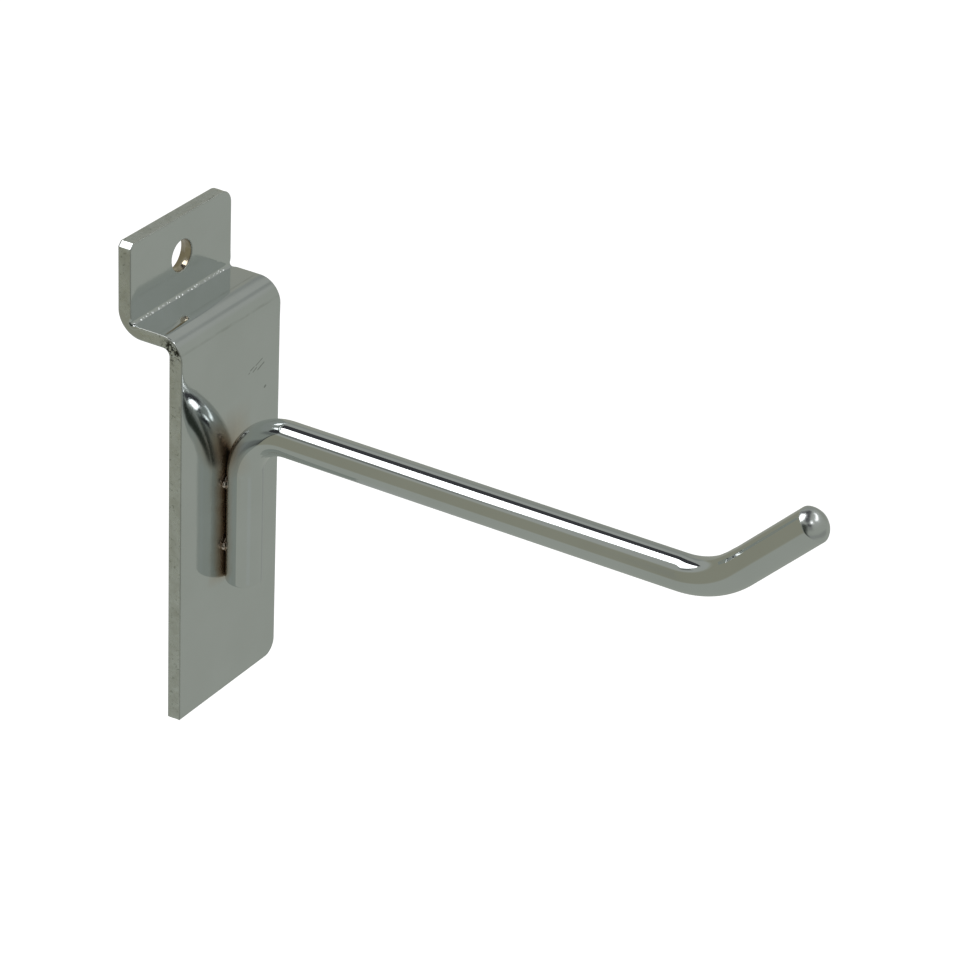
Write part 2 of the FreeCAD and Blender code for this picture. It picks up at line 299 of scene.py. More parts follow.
def roll(inset):
    """How far the front face falls away near the outline, where the strip was sheared and buffed."""
    return ROLL_DEPTH * (1 - inset / ROLL_WIDTH) ** 3


def rim_profile(thickness, scale, fall):
    """(inset, depth, slot) points through the thickness at the outline."""
    r, b = FRONT_ROUND * scale, BACK_ROUND
    points = []
    for k in range(ROLL_STEPS):
        inset = lerp(ROLL_WIDTH, r, k / ROLL_STEPS)
        points.append((inset, fall * roll(inset), FACE))
    slope = fall * 3 * ROLL_DEPTH / ROLL_WIDTH * (1 - r / ROLL_WIDTH) ** 2
    start = math.atan(slope)
    low = fall * roll(r) + r * math.cos(start)
    for k in range(FRONT_STEPS):
        a = lerp(start, math.pi / 2, k / (FRONT_STEPS - 1))
        points.append((r - r * math.sin(a), low - r * math.cos(a), RIM))
    for k in range(1, SIDE_STEPS):
        points.append((0.0, lerp(low, thickness - b, k / SIDE_STEPS), SHEARED))
    for k in range(BACK_STEPS):
        a = math.pi / 2 * k / (BACK_STEPS - 1)
        points.append((b - b * math.cos(a), thickness - b + b * math.sin(a), FACE))
    return points


def fracture_relief(p, share):
    """How far the broken part of a sheared edge lies under its burnished part, in mm."""
    at = Vector(p)
    break_share = 0.50 + 0.05 * noise.noise(at * 0.8)
    blend = clamp((break_share - share) / 0.05)
    rough = noise.fractal(at * 2.4, 0.9, 2.1, 3)
    tears = max(0.0, noise.noise(Vector((p[0] * 1.6, p[1] * 2.6, p[2] * 1.6 + 7))) - 0.12)
    front = max(0.0, 1 - share / 0.34)
    pits = 0.0
    if p[0] < 0:
        near = math.hypot(p[1] - PITS_AT[1], p[2] - PITS_AT[2]) / 1.5
        pits = 0.16 * max(0.0, noise.noise(at * 3.1) + 0.1) * math.exp(-near * near)
    return max(0.0, blend * (0.022 + 0.016 * rough + 0.16 * tears * front) + pits)


def build_rim(nodes, verts, faces, materials):
    """The edge all round the strip; returns each node's first vertex and the number of its vertices."""
    ring_start = []
    for place, front, back, scale, tag in nodes:
        thickness = math.dist(front, back)
        ring_start.append(len(verts))
        profile = rim_profile(thickness, scale, fall_share(front))
        for inset, depth, slot in profile:
            share = depth / thickness
            y = lerp(front[0], back[0], share)
            z = lerp(front[1], back[1], share)
            if slot == SHEARED and tag != "cut":
                inset += fracture_relief((place(0)[0], y, z), share)
            x, level = place(inset)
            verts.append((x, y, z if level is None else level))
    for i, a in enumerate(ring_start):
        following = (i + 1) % len(nodes)
        b = ring_start[following]
        cut = nodes[i][4] == "cut" and nodes[following][4] == "cut"
        very_round = nodes[i][3] > CREASE_FACE_FROM
        for k in range(len(profile) - 1):
            faces.append((a + k, a + k + 1, b + k + 1, b + k))
            slots = {profile[k][2], profile[k + 1][2]}
            if cut or very_round:
                materials.append(FACE)
            elif SHEARED in slots:
                materials.append(SHEARED)
            else:
                materials.append(RIM if slots == {RIM} else FACE)
    return ring_start, len(profile)


def line_across(verts, left, right, columns, creased_at):
    """Vertices across a fold; creased_at is the y and z of a line in the tab's crease."""
    line = [left]
    for c in range(1, columns):
        p = [lerp(verts[left][k], verts[right][k], c / columns) for k in range(3)]
        if creased_at:
            p = crease_nodules(p, creased_at)
        line.append(len(verts))
        verts.append(tuple(p))
    line.append(right)
    return line


def build_strip():
    rows, folds = stations()
    nodes = outline_nodes(rows)
    verts, faces, materials = [], [], []
    ring_start, ring_length = build_rim(nodes, verts, faces, materials)
    node_at = {node[4]: i for i, node in enumerate(nodes) if isinstance(node[4], tuple)}
    plate_fold, tab_fold = folds
    hole_rings = hole_surface(verts, faces, materials)

    for front, hole_ring in zip((True, False), hole_rings):
        pick = 0 if front else ring_length - 1
        inner = [start + pick for start in ring_start]
        lines = {}
        for band in folds:
            creased = front and band == tab_fold
            columns = CREASE_STEPS if creased else ACROSS_STEPS
            for i in band:
                left, right = inner[node_at["left", i]], inner[node_at["right", i]]
                lines[i] = line_across(verts, left, right, columns, rows[i][0] if creased else None)
            for i in band[:-1]:
                lower, upper = lines[i], lines[i + 1]
                for c in range(columns):
                    quad = (lower[c], lower[c + 1], upper[c + 1], upper[c])
                    faces.append(quad if front else quad[::-1])
                    materials.append(FACE)

        def outline(start, end):
            """The outline's vertices between two nodes: up the far side, down the near side."""
            a, b = node_at[start], node_at[end]
            if b < a:
                b += len(nodes)
            return [inner[i % len(nodes)] for i in range(a, b + 1)]

        plate = outline(("left", plate_fold[0]), ("right", plate_fold[0]))
        plate += lines[plate_fold[0]][-2:0:-1]
        fill(verts, faces, materials, plate, [], front, (0, 2))
        ledge = outline(("right", plate_fold[-1]), ("right", tab_fold[0]))
        ledge += lines[tab_fold[0]][-2:0:-1]
        ledge += outline(("left", tab_fold[0]), ("left", plate_fold[-1]))
        ledge += lines[plate_fold[-1]][1:-1]
        fill(verts, faces, materials, ledge, [], front, (0, 1))
        tab = outline(("right", tab_fold[-1]), ("left", tab_fold[-1]))
        tab += lines[tab_fold[-1]][1:-1]
        fill(verts, faces, materials, tab, hole_ring, front, (0, 2))

    obj = make_object("plated_strip", verts, faces)
    obj.data.polygons.foreach_set("material_index", materials)
    return obj


def fill(verts, faces, materials, loop, hole, front, axes):
    """Triangles between a flat loop and a hole in it."""
    ring = list(loop) + list(hole)
    points = [Vector((verts[v][axes[0]], verts[v][axes[1]])) for v in ring]
    n, m = len(loop), len(hole)
    edges = [(i, (i + 1) % n) for i in range(n)] + [(n + i, n + (i + 1) % m) for i in range(m)]
    out = delaunay_2d_cdt(points, edges, [], 1, 1e-7)
    new_points, triangles, origin = out[0], out[2], out[3]
    assert len(new_points) == len(ring), "a flat face's outline meets itself"
    centre = Vector((0, HOLE_Z))
    for triangle in triangles:
        middle = sum((new_points[v] for v in triangle), Vector((0, 0))) / 3
        if m and (middle - centre).length < (points[n] - centre).length * 0.995:
            continue
        face = tuple(ring[origin[v][0]] for v in triangle)
        faces.append(face if front else face[::-1])
        materials.append(FACE)


def hole_surface(verts, faces, materials):
    """The punched hole through the tab; returns its front and back rings."""
    slope = math.atan2(HOLE_FLARE, HOLE_FLARE_DEPTH)
    # radius, y and unevenness, which is 0 on the rounded rims
    profile = []
    for k in range(HOLE_RIM_STEPS + 1):
        a = math.pi / 2 * k / HOLE_RIM_STEPS
        profile.append((HOLE_R + HOLE_RIM - HOLE_RIM * math.sin(a),
                        TAB_FRONT + HOLE_RIM - HOLE_RIM * math.cos(a), 0))
    flare_y = TAB_BACK - HOLE_FLARE_DEPTH
    for k in range(1, HOLE_WALL_STEPS + 1):
        profile.append((HOLE_R, lerp(TAB_FRONT + HOLE_RIM, flare_y, k / HOLE_WALL_STEPS), 0.3))
    reach = HOLE_RIM * math.tan((math.pi / 2 - slope) / 2)
    top = (HOLE_R + HOLE_FLARE - reach * math.sin(slope), TAB_BACK - reach * math.cos(slope))
    for k in range(1, HOLE_FLARE_STEPS + 1):
        t = k / HOLE_FLARE_STEPS
        profile.append((lerp(HOLE_R, top[0], t), lerp(flare_y, top[1], t), 1))
    centre = (HOLE_R + HOLE_FLARE + reach, TAB_BACK - HOLE_RIM)
    for k in range(1, HOLE_RIM_STEPS + 1):
        a = lerp(math.pi - slope, math.pi / 2, k / HOLE_RIM_STEPS)
        profile.append((centre[0] + HOLE_RIM * math.cos(a), centre[1] + HOLE_RIM * math.sin(a), 0))
    rings = []
    for radius, y, uneven in profile:
        ring = []
        for j in range(HOLE_STEPS):
            a = 2 * math.pi * j / HOLE_STEPS
            x, z = math.cos(a), math.sin(a)
            r = radius + 0.03 * uneven * noise.noise(Vector((x * 5, y * 0.8, z * 5)))
            ring.append(len(verts))
            verts.append((r * x, y, HOLE_Z + r * z))
        rings.append(ring)
    for k in range(len(rings) - 1):
        for j in range(HOLE_STEPS):
            n = (j + 1) % HOLE_STEPS
            faces.append((rings[k][j], rings[k][n], rings[k + 1][n], rings[k + 1][j]))
            materials.append(HOLE if profile[k][2] or profile[k + 1][2] else RIM)
    return rings[0], rings[-1]


def plating_grains():
    """Place along the crease, place across it and size of each grain, in mm."""
    chance = random.Random(17)
    grains = []
    x, last = GRAIN_SPAN
    while x < last:
        size = chance.choice(GRAIN_SIZES)
        grains.append((x, 0.5 + chance.uniform(-0.12, 0.12), size))
        x += chance.choice(GRAIN_GAPS)
    return grains


NODULES = plating_grains()


def crease_nodules(p, front):
    """Small grains of plating that stand on the inside of the tab's fold."""
    angle = math.atan2(front[1] - TAB_FOLD_IN[1], front[0] - TAB_FOLD_IN[0])
    along = (angle + math.pi / 2) * TAB_FOLD_IN[2]
    height = 0.012 * noise.noise(Vector((p[0] * 3, along * 6, 0)))
    for x, place, size in NODULES:
        d = math.hypot(p[0] - x, along - place) / size
        if d < 3:
            height += size * 0.6 * math.exp(-d * d)
    height *= clamp(8 * min(along, math.pi / 2 - along))
    return [p[0], p[1] - math.cos(angle) * height, p[2] - math.sin(angle) * height]


def rod_path():
    """Stations along the rod's centre line: y, z, the way ahead from -Y towards +Z, and the radius."""
    rings = []

    def add(y, z, angle, radius):
        rings.append((y, z, angle, radius))

    up = math.pi / 2
    add(LEG_Y, LEG_END, up, CENTRE_R)
    for r in (1.0, 1.8, ROD_R - LEG_ROUND):
        add(LEG_Y, LEG_END, up, r)
    for k in range(1, LEG_ROUND_STEPS + 1):
        a = math.pi / 2 * k / LEG_ROUND_STEPS
        add(LEG_Y, LEG_END + LEG_ROUND * (1 - math.cos(a)), up,
            ROD_R - LEG_ROUND + LEG_ROUND * math.sin(a))
    leg_top = -ELBOW_R
    for k in range(1, LEG_STEPS):
        add(LEG_Y, lerp(LEG_END + LEG_ROUND, leg_top, k / LEG_STEPS), up, ROD_R)
    elbow = (LEG_Y - ELBOW_R, leg_top)
    for k in range(ELBOW_STEPS + 1):
        a = math.pi / 2 * k / ELBOW_STEPS
        add(elbow[0] + ELBOW_R * math.cos(a), elbow[1] + ELBOW_R * math.sin(a), up - a, ROD_R)
    for k in range(1, ARM_STEPS):
        add(lerp(elbow[0], ARM_TURN_Y, k / ARM_STEPS), 0.0, 0.0, ROD_R)
    for k in range(TIP_BEND_STEPS + 1):
        a = TIP_ANGLE * k / TIP_BEND_STEPS
        add(ARM_TURN_Y - TIP_BEND_R * math.sin(a), TIP_BEND_R * (1 - math.cos(a)), a, ROD_R)
    start = (ARM_TURN_Y - TIP_BEND_R * math.sin(TIP_ANGLE), TIP_BEND_R * (1 - math.cos(TIP_ANGLE)))
    run = math.dist(start, TIP_END)

    def tip(d, radius):
        """A station at a distance past the tip's bend."""
        add(start[0] - d * math.cos(TIP_ANGLE), start[1] + d * math.sin(TIP_ANGLE), TIP_ANGLE, radius)

    for k in range(1, TIP_STEPS + 1):
        tip(run * k / TIP_STEPS, ROD_R)
    joint = math.asin((ROD_R - DOME_EDGE) / (DOME_CAP - DOME_EDGE))
    for k in range(1, DOME_EDGE_STEPS + 1):
        a = (math.pi / 2 - joint) * k / DOME_EDGE_STEPS
        tip(run + DOME_EDGE * math.sin(a), ROD_R - DOME_EDGE + DOME_EDGE * math.cos(a))
    for k in range(1, DOME_STEPS):
        a = joint * (1 - k / DOME_STEPS)
        tip(run + (DOME_LENGTH - DOME_CAP + DOME_CAP * math.cos(a)), DOME_CAP * math.sin(a))
    tip(run + DOME_LENGTH, CENTRE_R)
    return rings


def tool_mark(x, y, z):
    """The slight step that the bending tool left on the inside of the tip's bend."""
    along = math.hypot(x * 0.9, y - TOOL_MARK_AT[0], (z - TOOL_MARK_AT[1]) * 0.8) / 1.5
    return 0.07 * math.exp(-along ** 4)


def build_rod():
    verts, faces = [], []
    rings = rod_path()
    for y, z, angle, radius in rings:
        out = (math.sin(angle), math.cos(angle))
        for j in range(ROD_STEPS):
            a = 2 * math.pi * j / ROD_STEPS
            side, rise = radius * math.sin(a), radius * math.cos(a)
            py, pz = y + rise * out[0], z + rise * out[1]
            if y < ARM_TURN_Y:
                lift = tool_mark(side, py, pz) if rise > 0 else 0.0
                if radius < ROD_R - 0.01 and y < -100:
                    lift += 0.035 * noise.noise(Vector((side * 0.9, py * 0.9, pz * 0.9)))
                scale = 1 + lift / max(radius, 0.5)
                side, rise = side * scale, rise * scale
                py, pz = y + rise * out[0], z + rise * out[1]
            # the leg is pressed flat against the plate
            if pz < LEG_FLAT_Z:
                py = min(py, PLATE_FRONT)
            verts.append((-side, py, pz))
    for i in range(len(rings) - 1):
        a, b = i * ROD_STEPS, (i + 1) * ROD_STEPS
        for j in range(ROD_STEPS):
            n = (j + 1) % ROD_STEPS
            faces.append((a + j, a + n, b + n, b + j))
    faces.append(tuple(range(ROD_STEPS))[::-1])
    last = (len(rings) - 1) * ROD_STEPS
    faces.append(tuple(last + j for j in range(ROD_STEPS)))
    return make_object("plated_rod", verts, faces)


# Drops of a weld: height above its middle, size in x, y and z, and reach from the leg's middle, in mm.
WELD_DROPS = (
    (0.0, (0.86, 0.30, 1.35), 1.18),
    (-0.1, (0.92, 0.45, 0.74), 1.66),
)
WELD_Y = -2.80


def build_weld(name, node):
    """Drops of weld in the corners between rod and plate, on each side."""
    low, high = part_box(node)
    middle = (low.z + high.z) / 2 / MM
    bm = bmesh.new()
    for side in (-1, 1):
        for rise, size, reach in WELD_DROPS:
            made = bmesh.ops.create_icosphere(bm, subdivisions=5, radius=1.0)
            shift = Vector((side * 3, rise * 5, middle))
            for v in made["verts"]:
                lump = 1 + 0.10 * noise.noise(v.co * 1.4 + shift)
                v.co = Vector((side * reach + v.co.x * size[0] * lump,
                               WELD_Y + v.co.y * size[1] * lump,
                               middle + rise + v.co.z * size[2] * lump))
    bmesh.ops.scale(bm, vec=(MM, MM, MM), verts=bm.verts)
    return bmesh_object(name, bm)


# Materials.

class Nodes:
    """Short hands for the node tree of a material or a world."""

    def __init__(self, owner):
        owner.use_nodes = True
        self.owner = owner
        self.tree = owner.node_tree
        self.bsdf = self.tree.nodes.get("Principled BSDF")
        self.output = self.tree.nodes.get("Material Output")

    def add(self, kind, **settings):
        node = self.tree.nodes.new("ShaderNode" + kind)
        for key, value in settings.items():
            if key in node.inputs:
                node.inputs[key].default_value = value
            else:
                setattr(node, key, value)
        return node

    def link(self, a, b):
        self.tree.links.new(a, b)

    def noise(self, scale, detail=2.0, roughness=0.5, stretch=None):
        place = self.add("TexCoord")
        texture = self.add("TexNoise", Scale=scale, Detail=detail, Roughness=roughness)
        source = place.outputs["Object"]
        if stretch:
            mapping = self.add("Mapping")
            mapping.inputs["Scale"].default_value = stretch
            self.link(source, mapping.inputs["Vector"])
            source = mapping.outputs["Vector"]
        self.link(source, texture.inputs["Vector"])
        return texture.outputs["Fac"]

    def map(self, value, low, high, to_low, to_high):
        node = self.add("MapRange")
        for key, number in (("From Min", low), ("From Max", high), ("To Min", to_low), ("To Max", to_high)):
            node.inputs[key].default_value = number
        self.link(value, node.inputs["Value"])
        return node.outputs["Result"]

    def uneven(self, low, high, scale, detail=2.0, roughness=0.5):
        """Noise that stays between two values."""
        return self.map(self.noise(scale, detail, roughness), 0.3, 0.7, low, high)

    def place(self):
        """Object-space x, y and z, in metres."""
        parts = self.add("SeparateXYZ")
        self.link(self.add("TexCoord").outputs["Object"], parts.inputs[0])
        return tuple(parts.outputs)

    def distance(self, point):
        """How far the surface is from a point, in metres."""
        node = self.add("VectorMath", operation="DISTANCE")
        self.link(self.add("TexCoord").outputs["Object"], node.inputs[0])
        node.inputs[1].default_value = point
        return node.outputs["Value"]

    def backdrop_share(self):
        """1 for the rays that show the background: camera, glossy and transmission."""
        path = self.add("LightPath").outputs
        share = self.math("MAXIMUM", path["Is Camera Ray"], path["Is Glossy Ray"])
        return self.math("MAXIMUM", share, path["Is Transmission Ray"])

    def math(self, operation, *values):
        node = self.add("Math", operation=operation)
        for socket, value in zip(node.inputs, values):
            if isinstance(value, (int, float)):
                socket.default_value = value
            else:
                self.link(value, socket)
        return node.outputs[0]

    def mix(self, share, under, over):
        """Blends two colours; over may be a plain colour."""
        node = self.add("Mix", data_type="RGBA")
        self.link(share, node.inputs[0])
        self.link(under, node.inputs[6])
        if isinstance(over, tuple):
            node.inputs[7].default_value = (*over, 1)
        else:
            self.link(over, node.inputs[7])
        return node.outputs[2]

    def bump(self, height, strength, distance, under=None):
        node = self.add("Bump", Strength=strength, Distance=distance)
        self.link(height, node.inputs["Height"])
        if under:
            self.link(under, node.inputs["Normal"])
        return node.outputs["Normal"]

    def ramp(self, value, stops):
        node = self.add("ValToRGB")
        ramp = node.color_ramp
        while len(ramp.elements) < len(stops):
            ramp.elements.new(0.5)
        for element, (position, color) in zip(ramp.elements, stops):
            element.position = position
            element.color = (*color, 1)
        self.link(value, node.inputs["Fac"])
        return node.outputs["Color"]


def metal(name):
    n = Nodes(bpy.data.materials.new(name))
    n.bsdf.inputs["Metallic"].default_value = 1.0
    return n


def emitter(name, strength=1.0):
    """A material that only shines; returns its nodes and its emission node."""
    n = Nodes(bpy.data.materials.new(name))
    n.tree.nodes.remove(n.bsdf)
    emission = n.add("Emission", Strength=strength)
    n.link(emission.outputs["Emission"], n.output.inputs["Surface"])
    return n, emission


PLATING = (0.705, 0.735, 0.74)
PLATING_DULL = (0.68, 0.71, 0.71)
RIM_PLATING = (0.64, 0.66, 0.64)
RIM_DULL = (0.56, 0.58, 0.56)
NICKEL = (0.60, 0.49, 0.38)
NICKEL_DARK = (0.16, 0.11, 0.08)
SCRATCH_GREY = (0.22, 0.24, 0.22)
# Painted shade for the lines beside the plate's fold.
FOLD_SHADE_GREY = (0.40, 0.42, 0.39)

# Hairline scratches and a nick on the plate's front: start and end in x and z, and width, in mm.
SCRATCHES = (
    ((5.3, 6.6), (6.2, 6.9), 0.14),
    ((6.0, 6.1), (6.9, 6.5), 0.16),
    ((6.7, 6.9), (8.4, 7.5), 0.13),
    ((7.3, 6.0), (8.9, 6.6), 0.17),
    ((9.30, 2.08), (9.50, 2.16), 0.28),
    ((4.6, 6.2), (5.1, 6.3), 0.10),
)


def scratch_share(n):
    """1 on a scratch, 0 elsewhere."""
    x, y, z = n.place()
    x = n.math("ADD", x, n.uneven(-0.00009, 0.00009, 1500, 2))
    total = n.add("Value").outputs[0]
    total.default_value = 0.0
    for start, end, width in SCRATCHES:
        run = (end[0] - start[0]) * MM, (end[1] - start[1]) * MM
        px = n.math("SUBTRACT", x, start[0] * MM)
        pz = n.math("SUBTRACT", z, start[1] * MM)
        length = run[0] ** 2 + run[1] ** 2
        along = n.math("ADD", n.math("MULTIPLY", px, run[0] / length),
                       n.math("MULTIPLY", pz, run[1] / length))
        along = n.math("MINIMUM", n.math("MAXIMUM", along, 0), 1)
        dx = n.math("SUBTRACT", px, n.math("MULTIPLY", along, run[0]))
        dz = n.math("SUBTRACT", pz, n.math("MULTIPLY", along, run[1]))
        far = n.math("SQRT", n.math("ADD", n.math("MULTIPLY", dx, dx), n.math("MULTIPLY", dz, dz)))
        mark = n.map(far, width * MM / 2, width * MM, 1, 0)
        total = n.math("MAXIMUM", total, mark)
    return n.math("MULTIPLY", total, n.map(y, -0.0020, -0.0024, 0, 1))


def painted_fold_shade(n):
    """Painted shade: faint darker grey lines beside the plate's fold, where its bend begins."""
    _, y, z = n.place()
    broken = n.map(n.noise(300, 2, 0.5, (1, 3, 3)), 0.35, 0.65, 0.05, 0.32)
    upper = n.map(n.math("ABSOLUTE", n.math("SUBTRACT", y, 0.0021)), 0.00012, 0.00028, 1, 0)
    upper = n.math("MULTIPLY", upper, n.map(z, 0.0190, 0.0192, 0, 1))
    lower = n.map(n.math("ABSOLUTE", n.math("SUBTRACT", z, 0.0167)), 0.00010, 0.00030, 1, 0)
    lower = n.math("MULTIPLY", lower, n.map(y, -0.0012, -0.0016, 0, 1))
    return n.math("MULTIPLY", n.math("MAXIMUM", upper, lower), broken)


def plated(name, rough_low, rough_high, wave, grain, recess=None, scratched_and_fold_shade=False, dull=PLATING_DULL,
           bright=PLATING, tip=False):
    """Bright plating, slightly uneven.

    recess, a function, says where brown nickel shows; scratched_and_fold_shade adds the scratches on the
    strip's front and painted shade lines beside its fold, and tip dulls the rod's domed end.
    """
    n = metal(name)
    tone = n.ramp(n.noise(90, 3), [(0.35, dull), (0.65, bright)])
    gloss = n.uneven(rough_low, rough_high, 260, 4, 0.6)
    if recess:
        thin, bare = recess(n)
        tone = n.mix(thin, tone, NICKEL)
        tone = n.mix(bare, tone, NICKEL_DARK)
        gloss = n.math("ADD", gloss, n.math("MULTIPLY", thin, 0.3))
    if tip:
        _, y, z = n.place()
        along = n.math("SUBTRACT", z, y)
        gloss = n.math("ADD", gloss, n.map(along, 0.1196, 0.1202, 0, 0.2))
    if scratched_and_fold_shade:
        tone = n.mix(n.math("MULTIPLY", scratch_share(n), 0.6), tone, SCRATCH_GREY)
        # Painted shade: darker grey lines beside the plate's fold.
        tone = n.mix(painted_fold_shade(n), tone, FOLD_SHADE_GREY)
    n.link(tone, n.bsdf.inputs["Base Color"])
    n.link(gloss, n.bsdf.inputs["Roughness"])
    waves = n.bump(n.noise(110, 1), wave, 0.001)
    n.link(n.bump(n.noise(2600, 3, 0.6), grain, 0.0002, waves), n.bsdf.inputs["Normal"])
    return n.owner


def rod_recess(n):
    """How thin and how bare the plating is where the leg meets the plate."""
    _, y, z = n.place()
    depth = n.math("ADD", y, n.uneven(-0.0002, 0.0002, 520, 3))
    below = n.map(z, -0.0030, -0.0070, 0, 1)
    thin = n.math("MULTIPLY", n.map(depth, -0.0036, -0.0029, 0, 0.75), below)
    haze = n.map(n.distance((-0.0014, -0.0036, -0.0045)), 0.0048, 0.0008, 0, 0.75)
    bare = n.math("MULTIPLY", n.map(depth, -0.0031, -0.0026, 0, 0.16), below)
    return n.math("MAXIMUM", thin, haze), bare


def plate_recess(n):
    """How thin and how bare the plating is on the plate beside the leg."""
    x, y, z = n.place()
    across = n.math("ADD", n.math("ABSOLUTE", x), n.uneven(-0.0005, 0.0005, 420, 3))
    level = n.math("MULTIPLY", n.map(z, 0.0025, -0.0050, 0, 1), n.map(z, -0.0290, -0.0272, 0, 1))
    level = n.math("MULTIPLY", level, n.map(y, -0.0020, -0.0023, 0, 1))
    thin = n.math("MULTIPLY", n.map(across, 0.0060, 0.0018, 0, 0.7), level)
    bare = n.math("MULTIPLY", n.map(across, 0.0014, 0.0008, 0, 0.15), level)
    return thin, bare


strip_face = plated("plating_strip", 0.05, 0.10, 0.012, 0.02, plate_recess, scratched_and_fold_shade=True)
strip_rim = plated("plating_rim", 0.4, 0.5, 0.012, 0.1, dull=RIM_DULL, bright=RIM_PLATING)
rod_face = plated("plating_rod", 0.025, 0.04, 0.004, 0.006, rod_recess, tip=True)


def sheared_edge():
    """Cut edge of the strip: burnished towards the back, broken and specked towards the front."""
    n = metal("plating_sheared")
    specks = n.map(n.noise(1900, 2, 0.6), 0.60, 0.72, 0, 0.7)
    pits = n.math("MULTIPLY", n.map(n.distance([c * MM for c in PITS_AT]), 0.0012, 0.0026, 1, 0),
                  n.map(n.noise(1300, 3, 0.7), 0.47, 0.53, 0, 1))
    tone = n.ramp(n.noise(420, 4, 0.65), [(0.3, (0.61, 0.63, 0.59)), (0.6, (0.73, 0.76, 0.74))])
    tone = n.mix(specks, tone, (0.34, 0.36, 0.32))
    n.link(n.mix(pits, tone, (0.05, 0.05, 0.04)), n.bsdf.inputs["Base Color"])
    n.link(n.uneven(0.22, 0.38, 700, 3), n.bsdf.inputs["Roughness"])
    n.link(n.bump(n.noise(1500, 4, 0.65), 0.22, 0.0001), n.bsdf.inputs["Normal"])
    return n.owner


def hole_wall():
    n = metal("plating_hole")
    n.link(n.ramp(n.noise(420, 3), [(0.35, (0.42, 0.36, 0.27)), (0.65, (0.62, 0.55, 0.43))]),
           n.bsdf.inputs["Base Color"])
    n.link(n.uneven(0.12, 0.22, 600, 3), n.bsdf.inputs["Roughness"])
    n.link(n.bump(n.noise(1100, 3), 0.5, 0.0001), n.bsdf.inputs["Normal"])
    return n.owner


def weld_metal():
    n = metal("plating_weld")
    n.link(n.ramp(n.noise(700, 2), [(0.3, (0.62, 0.50, 0.44)), (0.7, (0.82, 0.73, 0.68))]),
           n.bsdf.inputs["Base Color"])
    n.link(n.uneven(0.10, 0.2, 900, 2), n.bsdf.inputs["Roughness"])
    n.link(n.bump(n.noise(1600, 2), 0.15, 0.0001), n.bsdf.inputs["Normal"])
    return n.owner


SHARP_ANGLE = math.radians(34)


def dress(obj, node, materials):
    for material in materials:
        obj.data.materials.append(material)
    obj.data.shade_smooth()
    obj.data.set_sharp_from_angle(angle=SHARP_ANGLE)
    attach(obj, "root")
    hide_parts(node)


strip = build_strip()
dress(strip, "back_plate", [strip_face, sheared_edge(), hole_wall(), strip_rim])
rod = build_rod()
dress(rod, "hook_rod", [rod_face])
for obj in (strip, rod):
    weighted = obj.modifiers.new("weighted", "WEIGHTED_NORMAL")
    weighted.mode = "FACE_AREA"
    weighted.keep_sharp = True
weld = weld_metal()
for node in ("upper_weld", "lower_weld"):
    dress(build_weld("bead_" + node, node), node, [weld])


# Camera, at the photograph's viewing angle.

CAMERA_RIGHT = (0.52446365, -0.85037938, 0.04234136)
CAMERA_UP = (0.38969439, 0.28396111, 0.87607327)
CAMERA_BACK = (-0.75701794, -0.4429684, 0.48031535)
CAMERA_AT = (-0.44755, -0.31055, 0.28807)

camera_data = bpy.data.cameras.new("camera")
camera_data.lens = 145.172
camera_data.sensor_width = 36.0
camera = link_object("camera", camera_data)
camera_rows = list(zip(CAMERA_RIGHT, CAMERA_UP, CAMERA_BACK, CAMERA_AT))
camera.matrix_world = Matrix(camera_rows + [(0, 0, 0, 1)])
scene.camera = camera


# Studio: a white floor far below, a tent of grey cloth and lamps and flags that only reflections see.

FLOOR_Z = -0.36
FLOOR_HALF = 9
TENT_R = 0.95
TENT_FOOT = FLOOR_Z + 0.01
TENT_GREY = (0.350, 0.367, 0.328)
# Patches of the tent: azimuth from +Y towards +X and height, in degrees, tone, and softness.
TENT_PATCHES = [
    ((-200, 200), (28, 91), (0.375, 0.388, 0.360), 8),
    ((35, 84), (20, 38), (0.285, 0.300, 0.280), 6),
    ((98, 112), (36, 44), (0.285, 0.300, 0.280), 7),
    ((-56, -38), (37, 42), (0.130, 0.140, 0.135), 3),
    ((-100, 62), (-27, 27), (0.345, 0.350, 0.300), 6),
    ((-95, 36), (-27, 27), (0.285, 0.285, 0.225), 6),
    ((-22, 42), (-60, -7), (0.370, 0.385, 0.370), 8),
    ((62, 118), (-4, 22), (0.300, 0.310, 0.275), 8),
    ((62, 104), (-42, -25), (0.300, 0.315, 0.290), 4),
    ((140, 250), (-22, -4), (0.260, 0.270, 0.250), 6),
    ((-160, -137), (-37, -25), (0.362, 0.382, 0.352), 8),
    ((-160, -128), (-22, -9), (0.270, 0.280, 0.265), 8),
    ((-150, -128), (20, 32), (0.215, 0.225, 0.210), 8),
    ((-137, -122), (-24, -6), (0.215, 0.225, 0.210), 4),
    ((-84, -70), (-24, 60), (0.240, 0.250, 0.225), 6),
    ((-126, -80), (-26, 48), (0.120, 0.125, 0.115), 6),
    ((-114, -83), (-24, 44), (0.030, 0.036, 0.028), 5),
]
LAMP_Z = 0.5
WHITE = (1, 1, 1)
BLACK = (0.05, 0.05, 0.055)
SHADE_LIGHT = 0.35
